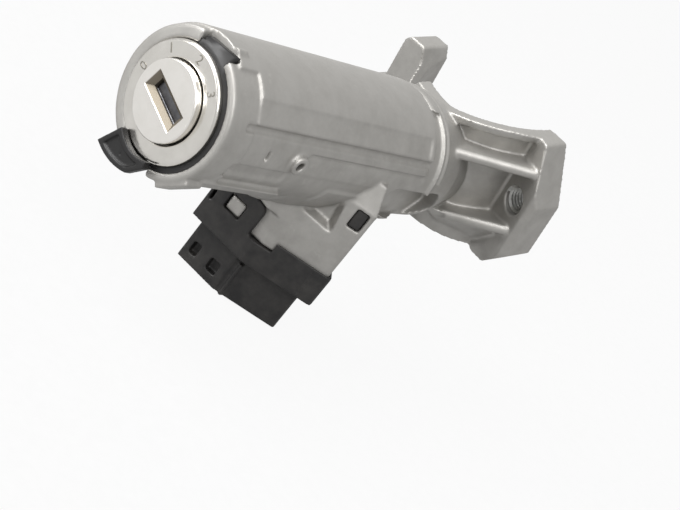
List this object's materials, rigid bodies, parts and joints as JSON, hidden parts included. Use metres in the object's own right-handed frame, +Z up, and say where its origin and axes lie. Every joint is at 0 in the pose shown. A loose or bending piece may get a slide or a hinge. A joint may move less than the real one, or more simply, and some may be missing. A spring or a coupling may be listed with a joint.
{
  "type": "steering lock",
  "caption": "Steering lock: cast barrel with a key cylinder, a square switch with its connector hanging below, and a rear saddle that bolts round the column.",
  "frame": {"origin": "on the barrel's axis, in the front face of the bright ring round the key plug", "axes": "+Y runs along the barrel towards the steering column, +Z is up with the switch hanging down, +X is to the right seen from the key's side"},
  "size_m": [0.0738, 0.1322, 0.0797],
  "materials": {
    "cast_alloy": "satin die casting",
    "bright_nickel": "bright nickel plate",
    "dark_moulding": "matt",
    "black_plastic": "fine grain",
    "grey_plastic": "plain",
    "dark_steel": "oiled",
    "spring_steel": "drawn wire",
    "brass": "plain"
  },
  "bodies": {
    "housing": {"lock_housing": "cast_alloy", "face_ring": "bright_nickel", "guide_ring": "dark_moulding", "cylinder_body": "cast_alloy", "retaining_spring": "spring_steel", "lever_pin": "spring_steel", "lever_spring": "spring_steel", "switch_housing": "black_plastic", "clip_ring": "black_plastic", "contact_plate": "grey_plastic", "terminals": "brass"},
    "plug": {"key_plug": "bright_nickel", "shutter_pin": "spring_steel", "wafers": "brass", "wafer_springs": "spring_steel", "drive_shaft": "dark_steel", "shaft_clip": "spring_steel", "drive_gear": "dark_steel", "return_spring": "spring_steel", "shaft_cam": "dark_steel"},
    "shutter": {"slot_shutter": "dark_steel"},
    "spindle": {"switch_spindle": "dark_steel", "switch_gear": "dark_steel", "contact_rotor": "grey_plastic", "contact_bridges": "brass"},
    "bolt": {"lock_bolt": "dark_steel"},
    "lever": {"release_lever": "black_plastic"},
    "pin": {"retaining_pin": "dark_steel"}
  },
  "joints": [
    {"name": "key_turn", "type": "hinge", "parent": "housing", "child": "plug", "pos_m": [0, 0, 0], "axis": [0, 1, 0], "range_deg": [-40, 88], "deforming": ["return_spring"]},
    {"name": "switch_turn", "type": "hinge", "parent": "housing", "child": "spindle", "pos_m": [0, 0.0675, 0], "axis": [0, 0, 1], "range_deg": [-88, 40]},
    {"name": "bolt_slide", "type": "slide", "parent": "housing", "child": "bolt", "axis": [0, 0.9659, 0.2588], "range_m": [-0.00379, 0.00173]},
    {"name": "shutter_swing", "type": "hinge", "parent": "plug", "child": "shutter", "pos_m": [-0.00045, 0.0009, -0.00195], "axis": [-0.9744, 0, 0.225], "range_deg": [0, 75], "stiffness_Nm_per_rad": 0.001, "springref_deg": -17.19},
    {"name": "lever_press", "type": "hinge", "parent": "housing", "child": "lever", "pos_m": [-0.00087, 0.0062, -0.01668], "axis": [0.9986, 0, -0.0523], "range_deg": [0, 8], "stiffness_Nm_per_rad": 0.15, "springref_deg": -5.73, "deforming": ["lever_spring"]},
    {"name": "pin_press", "type": "slide", "parent": "housing", "child": "pin", "axis": [-1, 0, 0], "range_m": [0, 0.0018], "stiffness_N_per_m": 400, "springref_m": -0.001, "deforming": ["retaining_spring"]}
  ],
  "couplings": [
    {"joint": "switch_turn", "follows": "key_turn", "ratio": -1},
    {"joint": "bolt_slide", "follows": "key_turn", "m_per_rad": -0.0024637}
  ]
}
